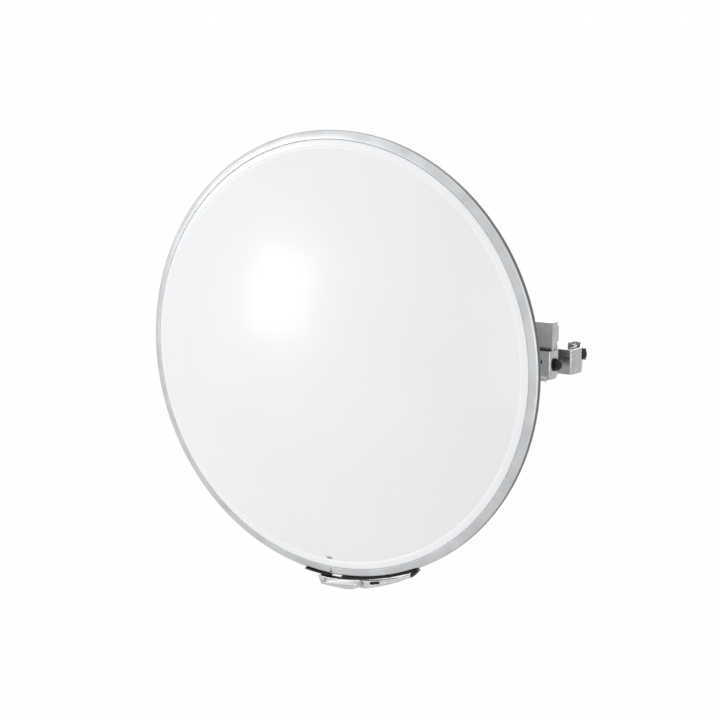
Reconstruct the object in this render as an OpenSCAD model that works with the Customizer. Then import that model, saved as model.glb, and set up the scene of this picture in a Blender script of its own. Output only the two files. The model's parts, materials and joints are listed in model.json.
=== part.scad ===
// Covered dish antenna on a pole clamp.
// +Z is up and the dish faces -Y. The origin is on the pole's axis, at the clamp's mid-height.
// Dish pieces are drawn in the dish's own frame (x right, y up, z forward, zero at the rim's
// centre) and placed by on_dish().

/* [Dish] */
// Overall diameter over the clamp band
rim_d = 580; // [560:5:600]
// Focal length of the reflector
focal = 166; // [160:1:172]
// Wall of the spun reflector
reflector_t = 2; // [1.5:0.5:2.5]
// Radius of the reflector's flat centre
flat_r = 66; // [64:1:70]
// Height of the radome's top over the rim plane
dome_h = 88; // [80:1:95]
// Wall of the radome
radome_t = 2.5; // [2:0.5:4]

/* [Place of the dish] */
// Rim centre to pole axis, sideways
dish_off_x = 230; // [225:1:240]
// Rim plane to pole axis, front to back
dish_off_y = 165; // [160:1:180]
// Rim centre above the clamp's mid-height
dish_off_z = 5; // [0:1:10]

/* [Clamp band] */
// Sheet of the band
band_t = 1.5; // [1:0.25:2]
// Width of the band's flat web
web_w = 7; // [6:0.5:9]
// How far the slanted lips reach in from the web
lip_in = 10.25; // [9:0.25:12]
// How far the slanted lips reach along the axis
lip_out = 4; // [3:0.25:6]
// Gap between the band's ends
band_gap = 3; // [2:0.5:6]

/* [Latch] */
// Turn of the whole latch about the dish's axis
latch_turn = 0.7; // [0:0.1:2]
// Thickness of the straps on the band's ends
strap_t = 2.25; // [2:0.25:3]
// Radius of the latch pins
pin_r = 2; // [1.5:0.25:2.5]
// Sheet of lever and link
latch_t = 1.5; // [1:0.25:2]
// Length of the lever's slot
slot_l = 15; // [12:1:16]

/* [Pole clamp] */
// Radius of the pole that the clamp holds
pole_r = 21.2; // [20.8:0.1:21.2]
// Height of the clamp strap
hook_h = 32; // [28:1:36]
// Sheet of the folded brackets
sheet_t = 2.5; // [2:0.25:3]
// Direction in which the moving saddle opens, from +X towards +Y
jaw_angle = 24; // [22:1:26]
// Height of the clamp screw over the clamp's mid-height
screw_z = 5; // [0:1:7]

/* [Tilt] */
// Tilt axis behind the bracket's front face
pivot_in = 11.5; // [11:0.5:13]
// Height of the tilt axis over the clamp's mid-height
pivot_z = 3; // [0:1:6]
// Height of the tilt channel's top over the clamp's mid-height
channel_top = 56; // [50:1:60]
// Radius of the hole in the bracket's front web
web_hole_r = 3.8; // [3:0.2:4.5]

/* [Port] */
// Radius of the rear port's bore
port_r = 25; // [23:0.5:26]
// Depth of the rear port's bore
port_l = 24; // [20:1:28]
// Outer radius of the feed tube
tube_r = 21; // [19:0.5:22]
// Height of the feed tube's mouth over the rim plane
tube_top = 18; // [10:1:24]

/* [Hidden] */

fit = 0.1;
snug = 0.04;
gap = 0.3;
fine = 180;
mid = 64;
over = 10;

rim_r = rim_d / 2;
flange_r = rim_r - 4;
bowl_r = rim_r - 14;
flange_top = -0.5;
gasket_t = 2;
neck_in = rim_r - 15;
radome_foot = flange_top + gasket_t;
bowl_low = flange_top - bowl_r * bowl_r / (4 * focal);
flat_z = bowl_low + flat_r * flat_r / (4 * focal);
bowl_steps = 30;

lip_len = norm([lip_in, lip_out]);
lip_n = [lip_out, lip_in] / lip_len;
web_mid_r = rim_r - band_t / 2;

// Radome edge, from the flange under the band to the foot of the dome
dome_r = rim_r - 23.5;
dome_foot = 11;
ball_r = (dome_r * dome_r + pow(dome_h - dome_foot, 2)) / (2 * (dome_h - dome_foot));
ball_z = dome_h - ball_r;
edge_top = 10.6;
drain_x = -8;
drain_r = 266.4;
drain = [8, 2, 40];
band_gap_x = -12.5;

// Stack behind the reflector's flat, each value the front face of its piece
hub_t = 3;
frame_t = 3;
hub_z = flat_z - reflector_t;
frame_z = hub_z - hub_t;
stack_z = frame_z - frame_t;
hub_r = 62;
port_hole_r = 34.5;
hub_bolt_r = 3;
hub_pcd_r = 52;
hub_count = 4;
hub_first = 45;
m6_corner_r = 5.77;
m8_corner_r = 7.5;

// Rear port: tubular socket through the stack, its flange behind the back frame
flange_t = 4.5;
flange_outer_r = 46;
flange_z = stack_z - flange_t;
socket_r = port_hole_r - 0.5;
socket_l = 28;
socket_back = flange_z - socket_l;
seat_z = flat_z + 10;
tube_wall = 2;
tube_seat_z = socket_back + port_l + 6;
port_screw_r = 2;
port_screw_pcd = 41;
port_head_t = 2.4;
groove_floor_r = socket_r - 1;
ring_front = flange_z - 4;
ring_back = socket_back - 6.5;
ring_lip_t = 2.5;
ring_wide_r = 36.8;
clip_t = 1.5;
clip_z = ring_front - ring_lip_t - gap - clip_t;
seal_r = 29.5;
seal_cord_r = 1.05;
cone_h = 24;
cone_r = 42;

// Latch points in the dish's frame
lever_pin = [9, -(rim_r + 9)];
link_pin = [31, -(rim_r + 6)];
keeper_pin = [-24, -(rim_r + 8.5)];
strap_r = rim_r + strap_t;
strap_w = 12;
ear_t = 5;
lever_in = 3;
lever_out = lever_in + latch_t;
link_in = lever_out + 0.5;
link_out = link_in + latch_t;
eye_r = 4.5;
pin_head_t = 1.2;
pin_head_r = pin_r + 1;
rivet_angles = [-9.1, -6.9, 14.5, 20];
rivet_r = 2;
rivet_head_r = 2.8;
strap_end_a = 23.2;
tip_x = 107;
slot_at = [53.5, -292.9];
slot_tilt = 11;
slot_r = 2;

// Lower and upper edge of the lever in the dish's frame
lever_low = [[38, -302.2], [48, -299.9], [62, -296.2], [86, -288], [tip_x, -278.6]];
lever_high = [[tip_x, -274.6], [86, -282.4], [62, -288.4], [42, -291.6], [link_pin[0], -292]];

// Mast side
tilt_y = -75.5 + pivot_in;
cheek_right = 28.5;
cheek_left = -7.5;
front_y = -75.5;
web_bottom = -12;
cheek_bottom = -15;
web_hole = [13.2, 7.2];
bolt_r = 4;
washer_t = 1.6;
hook_y = -24.4;
hook_left = -27.4;
saddle_h = hook_h - 2;
saddle_bolt_r = 3;
saddle_bolt_x = -16.5;
saddle_bolt_z = 8;
saddle_bolt_l = 8;
nut_l = 5;
bolt_end = cheek_right + 5.4;
screw_foot = 24.2;
jaw_dir = [cos(jaw_angle), sin(jaw_angle)];
facet_low = [33.8, -1.1];
facet_l = 38;
facet_high = facet_low + facet_l * [-sin(jaw_angle), cos(jaw_angle)];
facet_d = facet_low * jaw_dir;
hook_path = [[hook_left, 8], [hook_left, hook_y], [32.3, hook_y], facet_low, facet_high,
    [4.4, 42.1], [3.4, 25]];
channel_x0 = cheek_left + sheet_t + gap;
channel_x1 = cheek_right - sheet_t - gap;
channel_front = tilt_y - 1.4;
channel_back = -dish_off_y - frame_z;
arm_top = 46;
arm_bottom = 26;

// ---- helpers ----------------------------------------------------------------

function unit(v) = v / norm(v);
function left_of(v) = [-v[1], v[0]];
function wrap(a) = a > 180 ? a - 360 : (a < -180 ? a + 360 : a);
function reversed(list) = [for (i = [len(list) - 1:-1:0]) list[i]];

// Points of the bend at corner b, between a and c, on the centre line
function bend(a, b, c, r, steps = 5) =
    let (u = unit(a - b), w = unit(c - b), half = acos(u * w) / 2)
    let (o = b + unit(u + w) * r / sin(half), s = b + u * r / tan(half), e = b + w * r / tan(half))
    let (a0 = atan2(s[1] - o[1], s[0] - o[0]), a1 = atan2(e[1] - o[1], e[0] - o[0]))
    let (turn = wrap(a1 - a0))
    [for (i = [0:steps]) o + r * [cos(a0 + turn * i / steps), sin(a0 + turn * i / steps)]];

// A centre line with every inner corner rounded
function bent(pts, r) = concat(
    [pts[0]],
    [for (i = [1:len(pts) - 2]) each bend(pts[i - 1], pts[i], pts[i + 1], r)],
    [pts[len(pts) - 1]]);

function side_normal(p, i) =
    let (n = len(p), a = unit(p[min(i + 1, n - 1)] - p[min(i, n - 2)]))
    let (b = unit(p[max(i, 1)] - p[max(i - 1, 0)]), m = unit(left_of(a) + left_of(b)))
    m / (m * left_of(a));

function shifted(p, d) = [for (i = [0:len(p) - 1]) p[i] + d * side_normal(p, i)];

// Sheet of thickness t folded along the corner points
module folded(pts, t, r = 2.5) {
    path = bent(pts, r);
    polygon(concat(shifted(path, t / 2), reversed(shifted(path, -t / 2))));
}

module on_dish() {
    translate([-dish_off_x, -dish_off_y, dish_off_z]) rotate([90, 0, 0]) children();
}

module on_latch() {
    on_dish() rotate(latch_turn) children();
}

// Cylinder along +X of the row
module along_x(x0, x1, r, sides = mid) {
    translate([x0, tilt_y, pivot_z]) rotate([0, 90, 0]) cylinder(h = x1 - x0, r = r, $fn = sides);
}

// Flat piece in the dish's frame, centred on the band's plane
module cheek(z0, z1) {
    for (s = [0, 1]) mirror([0, 0, s]) translate([0, 0, z0]) linear_extrude(z1 - z0) children();
}

module ring(r0, r1, z0, z1, sides = fine) {
    translate([0, 0, z0]) difference() {
        cylinder(h = z1 - z0, r = r1, $fn = sides);
        translate([0, 0, -1]) cylinder(h = z1 - z0 + 2, r = r0, $fn = sides);
    }
}

module around(count, r, start = 0) {
    for (i = [0:count - 1]) rotate(start + i * 360 / count) translate([r, 0, 0]) children();
}

// Sector of the rim's outside, by angles from straight down
module sector(a0, a1, r, h) {
    steps = 8;
    translate([0, 0, -h / 2]) linear_extrude(h)
        polygon(concat([[0, 0]], [for (i = [0:steps])
            let (a = a0 + (a1 - a0) * i / steps) r * [sin(a), -cos(a)]]));
}

// ---- dish -------------------------------------------------------------------

function bowl(r) = bowl_low + r * r / (4 * focal);

module reflector() {
    inner = [for (i = [0:bowl_steps]) let (r = flat_r + (bowl_r - flat_r) * i / bowl_steps) [r, bowl(r)]];
    roll_t = 2;
    roll_h = 3.1;
    color("whitesmoke") on_dish() difference() {
        rotate_extrude($fn = fine) polygon(concat(
            [[port_hole_r, flat_z]], inner,
            [[flange_r, flange_top], [flange_r, flange_top - roll_h],
             [flange_r - roll_t, flange_top - roll_h], [flange_r - roll_t, flange_top - reflector_t]],
            reversed([for (p = inner) p - [0, reflector_t]]),
            [[port_hole_r, flat_z - reflector_t]]));
        hub_holes();
    }
}

module hub_holes() {
    around(hub_count, hub_pcd_r, hub_first) translate([0, 0, stack_z - over])
        cylinder(h = flat_z - stack_z + 2 * over, r = hub_bolt_r + fit, $fn = mid);
}

// Radome: spherical dome on a stepped edge ring, its foot flange under the band's lip
module radome() {
    under_lip = band_t / 2 + gap;
    lip_at = function (r) web_w / 2 + (web_mid_r - r) * lip_out / lip_in - under_lip / lip_n[1];
    neck_r = web_mid_r - lip_in - 1;
    neck_wall = 3.5;
    bead_in = dome_r + 2;
    spigot = dome_r - 2;
    color("white") on_dish() difference() {
        union() {
            intersection() {
                difference() {
                    translate([0, 0, ball_z]) sphere(r = ball_r, $fn = fine);
                    translate([0, 0, ball_z]) sphere(r = ball_r - radome_t, $fn = fine);
                }
                translate([0, 0, dome_foot - radome_t]) cylinder(h = dome_h, r = dome_r, $fn = fine);
            }
            rotate_extrude($fn = fine) polygon([
                [flange_r, radome_foot], [flange_r, lip_at(flange_r)], [neck_r, lip_at(neck_r)],
                [neck_r, edge_top - 2.6], [neck_r - 1.5, edge_top - 1.4],
                [bead_in + 2, edge_top], [bead_in, edge_top - 0.4],
                [dome_r, dome_foot], [spigot, dome_foot], [spigot, dome_foot - radome_t - 0.5],
                [neck_r - neck_wall, edge_top - 4.4], [neck_r - neck_wall, radome_foot]]);
        }
        rotate(asin(drain_x / drain_r)) translate([0, -drain_r, 0]) cube(drain, center = true);
    }
}

module radome_gasket() {
    color("black") on_dish() ring(neck_in, flange_r, flange_top, radome_foot);
}

module clamp_band() {
    lip = [web_mid_r - lip_in, web_w / 2 + lip_out];
    fold_r = 1.2;
    color("silver") on_dish() difference() {
        rotate_extrude($fn = fine) folded([
            [lip[0], -lip[1]], [web_mid_r, -web_w / 2], [web_mid_r, web_w / 2], lip], band_t, fold_r);
        rotate(latch_turn + asin(band_gap_x / rim_r)) translate([0, -rim_r, 0])
            cube([band_gap, 4 * lip_in, 4 * web_w], center = true);
        rotate(latch_turn) rivets(rivet_r);
    }
}

module rivets(r) {
    for (a = rivet_angles) rotate(a) translate([0, -rim_r + band_t + over / 2, 0])
        rotate([90, 0, 0]) cylinder(h = band_t + strap_t + over, r = r, $fn = mid);
}

module end_strap(a0, a1) {
    difference() {
        intersection() {
            ring(rim_r + snug, strap_r, -strap_w / 2, strap_w / 2);
            sector(a0, a1, rim_r + 2 * over, 2 * strap_w);
        }
        rivets(rivet_r);
    }
}

module end_strap_left() {
    slot_w = pin_r + 1.1;
    low = keeper_pin[1] - pin_r - 1.2;
    color("#202022") on_latch() union() {
        end_strap(-10.4, -2.9);
        translate([0, 0, -ear_t / 2]) linear_extrude(ear_t) difference() {
            polygon([[-31, -strap_r + 2.2], [-16, -strap_r + 1.2], [-17.5, low], [-29.5, low]]);
            translate(keeper_pin) circle(r = slot_w, $fn = mid);
            translate(keeper_pin - [slot_w, over]) square([2 * slot_w, over]);
        }
    }
}

module end_strap_right() {
    color("#202022") on_latch() difference() {
        union() {
            end_strap(0.6, strap_end_a);
            translate([0, 0, -ear_t / 2]) linear_extrude(ear_t) union() {
                polygon([[3.6, -strap_r + 0.6], [16, -strap_r + 1],
                         lever_pin + [eye_r, 0], lever_pin - [eye_r, 0]]);
                translate(lever_pin) circle(r = eye_r, $fn = mid);
            }
        }
        pin_hole(lever_pin, pin_r + fit / 2);
    }
}

module strap_rivets() {
    tail = 0.8;
    head_t = 1;
    color("gray") on_latch() for (a = rivet_angles) rotate(a) {
        translate([0, -rim_r + band_t + tail, 0]) rotate([90, 0, 0])
            cylinder(h = strap_t + band_t + tail + head_t / 2, r = rivet_r - snug, $fn = mid);
        translate([0, -strap_r, 0]) rotate([90, 0, 0])
            cylinder(h = head_t, r = rivet_head_r, $fn = mid);
    }
}

// ---- latch ------------------------------------------------------------------

module pin_hole(at, r) {
    translate([at[0], at[1], -over]) cylinder(h = 2 * over, r = r, $fn = mid);
}

module latch_pin(at, half) {
    translate([at[0], at[1], -half]) cylinder(h = 2 * half, r = pin_r, $fn = mid);
}

module headed_pin(at, half) {
    latch_pin(at, half + pin_head_t / 2);
    for (s = [0, 1]) mirror([0, 0, s]) translate([at[0], at[1], half])
        cylinder(h = pin_head_t, r = pin_head_r, $fn = mid);
}

module latch_pivot_pin() {
    color("gray") on_latch() latch_pin(lever_pin, lever_out);
}

module link_hook_pin() {
    color("darkgray") on_latch() headed_pin(keeper_pin, link_out);
}

module link_pivot_pin() {
    color("darkgray") on_latch() headed_pin(link_pin, link_out);
}

// Outline of the lever: eye, link eye and the tapering arm
module lever_outline() {
    union() {
        translate(lever_pin) circle(r = eye_r, $fn = mid);
        polygon(concat([lever_pin - [0, eye_r], [link_pin[0], -302]], lever_low, lever_high,
                       [lever_pin + [0, eye_r]]));
    }
}

module lever_slot() {
    half = slot_l / 2 - slot_r;
    translate(slot_at) rotate(slot_tilt) union() {
        for (s = [-half, half]) translate([s, 0]) circle(r = slot_r, $fn = mid);
        square([2 * half, 2 * slot_r], center = true);
    }
}

module latch_lever() {
    color("gainsboro") on_latch() difference() {
        union() {
            cheek(lever_in, lever_out) lever_outline();
            translate([0, 0, -lever_out]) linear_extrude(2 * lever_out)
                folded([for (p = lever_low) p + [-0.3, 0.75]], latch_t, 4);
        }
        for (at = [lever_pin, link_pin]) pin_hole(at, pin_r + fit / 2);
        linear_extrude(over) lever_slot();
    }
}

// Tip: a wedge that follows the strap, a small gap off it, and a tongue inside the lever
module lever_tip() {
    off_strap = function (x) -sqrt(pow(strap_r + gap, 2) - x * x);
    x0 = tip_x + snug;
    xs = [x0, x0 + 4, x0 + 8, x0 + 11.5];
    tongue_x = 44.5;
    tongue_half = lever_in - fit;
    root_x = x0 + 1.5;
    tongue = concat([[tongue_x, -298]], [for (p = lever_low) if (p[0] > tongue_x) p + [-0.8, 1.9]],
        [[root_x, -275.9], [root_x, -275.2]], [for (p = lever_high) if (p[0] > tongue_x) p - [0, 0.5]],
        [[tongue_x, -291.7]]);
    color("#1c1c1e") on_latch() union() {
        translate([0, 0, -lever_out]) linear_extrude(2 * lever_out)
            polygon(concat([[x0, lever_low[4][1] - 0.3]], [for (x = xs) [x, off_strap(x)]],
                           [[x0 + 3.5, lever_low[4][1] + 2.6]]));
        translate([0, 0, -tongue_half]) linear_extrude(2 * tongue_half) polygon(tongue);
    }
}

module latch_link() {
    low = [[-27.5, -304.2], [-13, -305.2], [3.5, -306]];
    outline = concat([[-33, -292.9]], low, [[9, -306.3], [20, -305.4], [link_pin[0] + 1.5, -300.6],
        link_pin + [0, eye_r], [14, -293.4], [0, -294.4], [-15, -294.3]]);
    color("gainsboro") on_latch() difference() {
        union() {
            cheek(link_in, link_out) union() {
                polygon(outline);
                translate(link_pin) circle(r = eye_r, $fn = mid);
            }
            translate([0, 0, -link_out]) linear_extrude(2 * link_out)
                polygon(concat(low, reversed([for (p = low) p + [0, latch_t]])));
        }
        for (at = [keeper_pin, link_pin]) pin_hole(at, pin_r + snug);
    }
}

// ---- hub, feed and port -----------------------------------------------------

module hub_plate() {
    color("silver") on_dish() difference() {
        ring(port_hole_r, hub_r, frame_z, hub_z);
        hub_holes();
    }
}

module hub_bolts() {
    head_t = 3;
    tail = 9;
    color("lightgray") on_dish() around(hub_count, hub_pcd_r, hub_first) {
        translate([0, 0, stack_z - tail])
            cylinder(h = flat_z - stack_z + tail + head_t / 2, r = hub_bolt_r, $fn = mid);
        translate([0, 0, flat_z]) cylinder(h = head_t, r1 = 7, r2 = 5, $fn = mid);
    }
}

module hub_washers() {
    color("silver") on_dish() around(hub_count, hub_pcd_r, hub_first)
        ring(hub_bolt_r + 2 * fit, 2 * hub_bolt_r, stack_z - washer_t, stack_z, mid);
}

module hub_nuts() {
    nut_t = 5;
    color("lightgray") on_dish() around(hub_count, hub_pcd_r, hub_first)
        translate([0, 0, stack_z - washer_t - nut_t]) difference() {
            cylinder(h = nut_t, r = m6_corner_r, $fn = 6);
            translate([0, 0, -over]) cylinder(h = nut_t + 2 * over, r = hub_bolt_r + snug, $fn = mid);
        }
}

module port_socket() {
    color("lightgray") on_dish() difference() {
        union() {
            translate([0, 0, socket_back]) cylinder(h = seat_z - socket_back, r = socket_r, $fn = fine);
            translate([0, 0, flange_z]) cylinder(h = flange_t, r = flange_outer_r, $fn = fine);
        }
        translate([0, 0, socket_back - over]) cylinder(h = port_l + over, r = port_r, $fn = fine);
        translate([0, 0, socket_back])
            cylinder(h = seat_z - socket_back + over, r = tube_r - tube_wall, $fn = fine);
        translate([0, 0, tube_seat_z])
            cylinder(h = seat_z - tube_seat_z + over, r = tube_r + snug, $fn = fine);
        port_screw_holes(port_screw_r + fit);
        ring(seal_r - seal_cord_r, seal_r + seal_cord_r, socket_back - over, socket_back + 1.5);
        ring(groove_floor_r, socket_r + 1, clip_z - fit, clip_z + clip_t + fit);
    }
}

module port_screw_holes(r) {
    around(4, port_screw_pcd) translate([0, 0, flange_z - over])
        cylinder(h = 3 * over, r = r, $fn = mid);
}

module port_screws() {
    color("dimgray") on_dish() around(4, port_screw_pcd) {
        translate([0, 0, flange_z - port_head_t / 2])
            cylinder(h = stack_z + frame_t - flange_z + port_head_t / 2, r = port_screw_r, $fn = mid);
        translate([0, 0, flange_z - port_head_t]) cylinder(h = port_head_t, r = 3.6, $fn = mid);
    }
}

module port_seal() {
    color("black") on_dish() translate([0, 0, socket_back + 0.4])
        rotate_extrude($fn = fine) translate([seal_r, 0]) circle(r = seal_cord_r - snug, $fn = mid);
}

// Bayonet ring: its front lip turns between the screw heads and the snap ring
module port_lock_ring() {
    wall_r = 40;
    tooth_r = 28;
    tooth_t = 3;
    tooth_a = 22;
    grip = [7, 12, 14];
    lip_z = ring_front - ring_lip_t;
    color("#2b2b2e") on_dish() union() {
        ring(socket_r + gap, wall_r, lip_z, ring_front);
        ring(ring_wide_r, wall_r, ring_back, lip_z);
        for (a = [0, 180]) intersection() {
            ring(tooth_r, wall_r - 1, ring_back, ring_back + tooth_t);
            rotate(a) sector(-tooth_a, tooth_a, 2 * wall_r, -2 * ring_back + over);
        }
        for (a = [90, 270]) rotate(a) translate([wall_r - 1, -grip[1] / 2, ring_back]) cube(grip);
    }
}

module port_ring_clip() {
    slit = 6;
    color("gray") on_dish() translate([0, 0, clip_z]) difference() {
        ring(groove_floor_r + snug, ring_wide_r - 2 * gap, 0, clip_t);
        translate([0, -socket_r, 0]) cube([slit, 2 * over, 2 * over], center = true);
    }
}

module feed_tube() {
    color("lightgray") on_dish() ring(tube_r - tube_wall, tube_r, tube_seat_z, tube_top);
}

module feed_cone() {
    plug = 16;
    color("whitesmoke") on_dish() union() {
        translate([0, 0, tube_top - plug])
            cylinder(h = plug + 1, r = tube_r - tube_wall - snug, $fn = fine);
        translate([0, 0, tube_top]) cylinder(h = cone_h, r1 = tube_r, r2 = cone_r, $fn = fine);
    }
}

module sub_reflector() {
    disc_t = 2;
    boss_h = 4;
    color("lightgray") on_dish() translate([0, 0, tube_top + cone_h]) union() {
        cylinder(h = disc_t, r = cone_r + 3, $fn = fine);
        translate([0, 0, disc_t]) cylinder(h = boss_h, r1 = 14, r2 = 9, $fn = mid);
    }
}

// ---- back frame and tilt ----------------------------------------------------

module back_frame() {
    arm_end = dish_off_x + channel_x1;
    arm_foot = -34.5;
    rib_h = 12;
    top_rib = [56, 136];
    rib = [[52, arm_foot + 0.5], [196, arm_bottom - 3]];
    slope = atan2(rib[1][1] - rib[0][1], rib[1][0] - rib[0][0]);
    color("silver") on_dish() difference() {
        union() {
            translate([0, 0, stack_z]) linear_extrude(frame_t) union() {
                circle(r = hub_r, $fn = fine);
                polygon([[20, arm_top], [arm_end, arm_top], [arm_end, arm_bottom],
                         [204, arm_bottom], [51, arm_foot], [20, arm_foot]]);
            }
            translate([top_rib[0], arm_top - sheet_t, stack_z - rib_h])
                cube([top_rib[1], sheet_t, rib_h + 1]);
            translate([rib[0][0], rib[0][1], stack_z - rib_h]) rotate(slope)
                cube([norm(rib[1] - rib[0]), sheet_t, rib_h + 1]);
        }
        translate([0, 0, stack_z - over])
            cylinder(h = frame_t + 2 * over, r = port_hole_r, $fn = fine);
        hub_holes();
        port_screw_holes(port_screw_r + snug);
    }
}

module tilt_channel() {
    ear_r = 8;
    low = 14;
    width = channel_x1 - channel_x0;
    module flange() {
        rotate([90, 0, 90]) linear_extrude(sheet_t) union() {
            translate([channel_front, pivot_z])
                square([channel_back - channel_front, channel_top - pivot_z]);
            translate([tilt_y, pivot_z]) circle(r = ear_r, $fn = mid);
        }
    }
    color("silver") difference() {
        union() {
            translate([channel_x0, 0, 0]) flange();
            translate([channel_x1 - sheet_t, 0, 0]) flange();
            translate([channel_x0, channel_front, low])
                cube([width, sheet_t, channel_top - low]);
            translate([channel_x0, channel_front, channel_top - sheet_t])
                cube([width, channel_back - channel_front, sheet_t]);
        }
        along_x(channel_x0 - over, channel_x1 + over, bolt_r + fit);
    }
}

// ---- mast side --------------------------------------------------------------

module tilt_bracket() {
    half = sheet_t / 2;
    web_y = front_y + half;
    right_x = cheek_right - half;
    left_x = cheek_left + half;
    flange_y = hook_y - sheet_t;
    flange_l = 17;
    cheek_back = -54.5;
    cheek_top = 21;
    corner = 9;
    margin = 4;
    width = cheek_right - cheek_left - 2 * margin;
    lip = [[front_y - 3.4, web_bottom - 4.2], [web_y, web_bottom], [web_y, web_bottom + margin]];
    color("silver") difference() {
        union() {
            difference() {
                union() {
                    translate([0, 0, cheek_bottom]) linear_extrude(hook_h / 2 - cheek_bottom)
                        folded([[right_x, cheek_back], [right_x, web_y], [left_x, web_y],
                                [left_x, flange_y], [left_x - flange_l, flange_y]], sheet_t);
                    translate([0, 0, cheek_bottom]) linear_extrude(cheek_top - cheek_bottom)
                        folded([[right_x, cheek_back], [right_x, web_y], [left_x, web_y],
                                [left_x, cheek_back]], sheet_t);
                }
                translate([cheek_left + margin, front_y - 1, cheek_bottom - over])
                    cube([width, sheet_t + 2, web_bottom + margin / 2 - cheek_bottom + over]);
            }
            translate([cheek_left + margin, 0, 0]) rotate([90, 0, 90])
                linear_extrude(width) folded(lip, sheet_t, 2);
        }
        along_x(cheek_left - over, cheek_right + over, bolt_r + fit / 2);
        translate([web_hole[0], front_y - 1, web_hole[1]]) rotate([-90, 0, 0])
            cylinder(h = sheet_t + 2, r = web_hole_r, $fn = mid);
        // Rounded lower rear corner of the right cheek
        difference() {
            translate([cheek_right - margin, cheek_back - corner, cheek_bottom - 1])
                cube([2 * margin, corner + 1, corner + 1]);
            translate([cheek_right - over, cheek_back - corner, cheek_bottom + corner])
                rotate([0, 90, 0]) cylinder(h = 2 * over, r = corner, $fn = mid);
        }
        saddle_bolt_holes(saddle_bolt_r + fit);
    }
}

module saddle_bolt_holes(r) {
    for (s = [-1, 1]) translate([saddle_bolt_x, hook_y - over, s * saddle_bolt_z])
        rotate([-90, 0, 0]) cylinder(h = over + saddle_bolt_l, r = r, $fn = mid);
}

module mast_hook() {
    color("silver") difference() {
        translate([0, 0, -hook_h / 2]) linear_extrude(hook_h) folded(hook_path, sheet_t, 3);
        clamp_axis(facet_d - over, facet_d + over, bolt_r + fit);
        saddle_bolt_holes(saddle_bolt_r + fit);
    }
}

// Cylinder along the clamp screw, from d0 to d1 off the pole's axis
module clamp_axis(d0, d1, r, sides = mid) {
    rotate([0, 0, jaw_angle]) translate([d0, 0, screw_z]) rotate([0, 90, 0])
        cylinder(h = d1 - d0, r = r, $fn = sides);
}

module fixed_saddle() {
    x0 = hook_left + sheet_t / 2 + snug;
    y0 = hook_y + sheet_t / 2 + snug;
    cut = 2.2;
    size = [33.5, 32];
    color("darkgray") difference() {
        translate([0, 0, -saddle_h / 2]) linear_extrude(saddle_h)
            polygon([[x0 + cut, y0], [x0 + size[0], y0], [x0 + size[0], y0 + size[1]],
                     [x0, y0 + size[1]], [x0, y0 + cut]]);
        translate([0, 0, -saddle_h]) cylinder(h = 2 * saddle_h, r = pole_r, $fn = fine);
        saddle_bolt_holes(saddle_bolt_r + snug);
    }
}

module saddle_bolts() {
    head_t = 4;
    head_y = hook_y - 1.5 * sheet_t;
    color("dimgray") for (s = [-1, 1]) translate([saddle_bolt_x, head_y, s * saddle_bolt_z])
        rotate([-90, 0, 0]) union() {
            translate([0, 0, -head_t / 2])
                cylinder(h = hook_y + saddle_bolt_l - head_y + head_t / 2 - fit,
                         r = saddle_bolt_r, $fn = mid);
            translate([0, 0, -head_t]) cylinder(h = head_t, r = m6_corner_r, $fn = 6);
        }
}

module clamp_nut() {
    seat = facet_d + sheet_t / 2;
    flange = 1;
    color("#18181a") difference() {
        union() {
            clamp_axis(seat, seat + flange, m8_corner_r + 0.2);
            clamp_axis(seat + flange / 2, seat + nut_l, m8_corner_r - 0.1, 6);
        }
        clamp_axis(seat - over, seat + over, bolt_r + fit / 2);
    }
}

module pivot_bolt() {
    head_t = 5.3;
    head_x = cheek_left - washer_t;
    color("#18181a") union() {
        along_x(head_x - head_t / 2, bolt_end, bolt_r);
        along_x(head_x - head_t, head_x, m8_corner_r, 6);
    }
}

module pivot_washers() {
    for (x = [cheek_left - washer_t, cheek_right]) color("#202022") difference() {
        along_x(x, x + washer_t, 2 * bolt_r + gap);
        along_x(x - over, x + over, bolt_r + 2 * fit);
    }
}

// Cap nut: a hexagon and a flat dome over the bolt's end
module pivot_cap_nut() {
    seat = cheek_right + washer_t;
    hex_l = 4.6;
    collar_l = 0.6;
    foot_r = 6.2;
    cap_h = 3.4;
    ball = (foot_r * foot_r + cap_h * cap_h) / (2 * cap_h);
    cap_top = hex_l + collar_l + cap_h;
    color("#18181a") difference() {
        union() {
            along_x(seat, seat + hex_l, m8_corner_r, 6);
            translate([seat, tilt_y, pivot_z]) rotate([0, 90, 0]) rotate_extrude($fn = mid)
                intersection() {
                    translate([0, cap_top - ball]) circle(r = ball, $fn = mid);
                    translate([0, hex_l / 2]) square([foot_r, cap_top]);
                }
        }
        along_x(seat - over, bolt_end + 2 * fit, bolt_r + snug);
    }
}

module moving_saddle() {
    back_r = 25.4;
    spread = 46;
    color("darkgray") difference() {
        intersection() {
            ring(pole_r, back_r, -saddle_h / 2, saddle_h / 2);
            rotate(jaw_angle + 90) sector(-spread, spread, 2 * back_r, 2 * saddle_h);
        }
        clamp_axis(screw_foot, back_r + over, bolt_r + snug);
    }
}

module clamp_screw() {
    screw_end = facet_d + 7.2;
    socket = 2.3;
    color("#303033") difference() {
        clamp_axis(screw_foot, screw_end, bolt_r);
        clamp_axis(screw_end - 4, screw_end + over, socket, 6);
    }
}

reflector();
radome();
radome_gasket();
clamp_band();
end_strap_left();
end_strap_right();
strap_rivets();
latch_pivot_pin();
latch_lever();
lever_tip();
latch_link();
link_hook_pin();
link_pivot_pin();
hub_plate();
hub_bolts();
hub_washers();
hub_nuts();
feed_tube();
feed_cone();
sub_reflector();
port_socket();
port_screws();
port_seal();
port_lock_ring();
port_ring_clip();
back_frame();
tilt_channel();
tilt_bracket();
mast_hook();
fixed_saddle();
saddle_bolts();
clamp_nut();
pivot_bolt();
pivot_washers();
pivot_cap_nut();
moving_saddle();
clamp_screw();
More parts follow.
